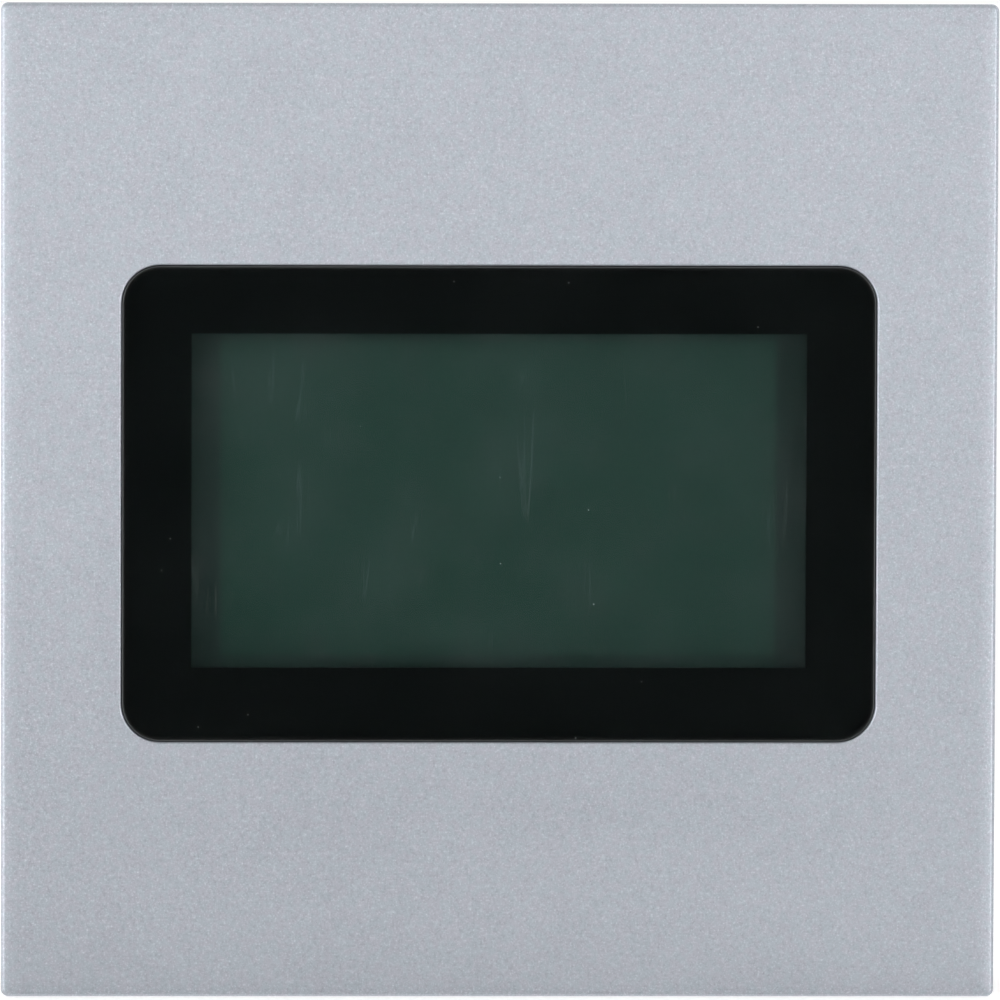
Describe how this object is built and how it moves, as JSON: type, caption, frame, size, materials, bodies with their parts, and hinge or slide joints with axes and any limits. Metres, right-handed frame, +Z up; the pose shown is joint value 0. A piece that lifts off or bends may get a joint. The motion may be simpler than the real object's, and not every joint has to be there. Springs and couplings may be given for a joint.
{
  "type": "time clock display module",
  "caption": "Flush wall-mounted display module of a time clock: square metal front plate, black-bordered glass window, liquid-crystal display and rear electronics housing.",
  "frame": {"origin": "centre of the rear housing's flat back face, where the module seats in its wall frame", "axes": "the front looks along -Y, +Y points into the wall, +Z is up, +X is to the right as seen from the front"},
  "size_m": [0.113, 0.0346, 0.113],
  "materials": {
    "anodised_aluminium": "bead-blasted, clear anodised",
    "clear_glass": "polished",
    "black_print": "screen-printed black film",
    "foam_tape": "black foam",
    "grey_silicone": "soft silicone",
    "black_steel": "blackened sheet steel",
    "polariser_film": "dark green-grey film",
    "white_sheet": "matt white film",
    "clear_acrylic": "polished acrylic",
    "zebra_rubber": "layered conductive rubber",
    "green_board": "solder mask on glass-fibre board",
    "blue_board": "solder mask on glass-fibre board",
    "black_epoxy": "moulded epoxy",
    "black_abs": "fine spark-eroded texture",
    "white_nylon": "natural nylon",
    "red_switch": "moulded",
    "blue_trimmer": "moulded",
    "zinc_steel": "zinc plated",
    "brass": "turned and knurled",
    "vent_film": "porous film"
  },
  "bodies": {
    "module": {"faceplate": "anodised_aluminium", "lens_glass": "clear_glass", "lens_mask": "black_print", "lens_tape": "foam_tape", "display_gasket": "foam_tape", "housing_seal": "grey_silicone", "lcd_bezel": "black_steel", "front_polariser": "polariser_film", "lcd_front_glass": "clear_glass", "lcd_rear_glass": "clear_glass", "rear_polariser": "polariser_film", "diffuser_sheet": "white_sheet", "light_guide": "clear_acrylic", "reflector_sheet": "white_sheet", "backlight_strip": "white_sheet", "zebra_strip_upper": "zebra_rubber", "zebra_strip_lower": "zebra_rubber", "display_board": "green_board", "driver_blob_1": "black_epoxy", "driver_blob_2": "black_epoxy", "driver_blob_3": "black_epoxy", "display_header": "black_epoxy", "display_socket": "black_epoxy", "main_board": "blue_board", "controller_chip": "black_epoxy", "reservoir_capacitor": "zinc_steel", "power_inductor": "black_epoxy", "crystal": "zinc_steel", "link_socket_in": "white_nylon", "link_socket_out": "white_nylon", "address_switch_body": "red_switch", "contrast_trimmer_body": "blue_trimmer", "reset_switch_body": "black_epoxy", "tamper_switch_body": "black_epoxy", "tamper_spring": "zinc_steel", "rear_housing": "black_abs", "vent_membrane": "vent_film", "display_screw_1": "zinc_steel", "board_screw_1": "zinc_steel", "housing_screw_1": "zinc_steel", "mounting_insert_1": "brass", "display_screw_2": "zinc_steel", "board_screw_2": "zinc_steel", "housing_screw_2": "zinc_steel", "mounting_insert_2": "brass", "display_screw_3": "zinc_steel", "board_screw_3": "zinc_steel", "housing_screw_3": "zinc_steel", "mounting_insert_3": "brass", "display_screw_4": "zinc_steel", "board_screw_4": "zinc_steel", "housing_screw_4": "zinc_steel", "mounting_insert_4": "brass"},
    "address_slider_1": {"address_slider_1": "white_nylon"},
    "address_slider_2": {"address_slider_2": "white_nylon"},
    "address_slider_3": {"address_slider_3": "white_nylon"},
    "address_slider_4": {"address_slider_4": "white_nylon"},
    "contrast_trimmer_rotor": {"contrast_trimmer_rotor": "white_nylon"},
    "reset_plunger": {"reset_plunger": "black_abs"},
    "tamper_plunger": {"tamper_plunger": "black_abs"}
  },
  "joints": [
    {"name": "address_slide_1", "type": "slide", "parent": "module", "child": "address_slider_1", "axis": [1, 0, 0], "range_m": [0, 0.0013]},
    {"name": "address_slide_2", "type": "slide", "parent": "module", "child": "address_slider_2", "axis": [1, 0, 0], "range_m": [0, 0.0013]},
    {"name": "address_slide_3", "type": "slide", "parent": "module", "child": "address_slider_3", "axis": [1, 0, 0], "range_m": [0, 0.0013]},
    {"name": "address_slide_4", "type": "slide", "parent": "module", "child": "address_slider_4", "axis": [1, 0, 0], "range_m": [0, 0.0013]},
    {"name": "contrast_turn", "type": "hinge", "parent": "module", "child": "contrast_trimmer_rotor", "pos_m": [-0.022, -0.0038, -0.02], "axis": [0, 1, 0], "range_deg": [-135, 135]},
    {"name": "reset_press", "type": "slide", "parent": "module", "child": "reset_plunger", "axis": [0, -1, 0], "range_m": [0, 0.00025], "stiffness_N_per_m": 600},
    {"name": "tamper_press", "type": "slide", "parent": "module", "child": "tamper_plunger", "axis": [0, -1, 0], "range_m": [0, 0.002], "stiffness_N_per_m": 150, "deforming": ["tamper_spring"]}
  ]
}
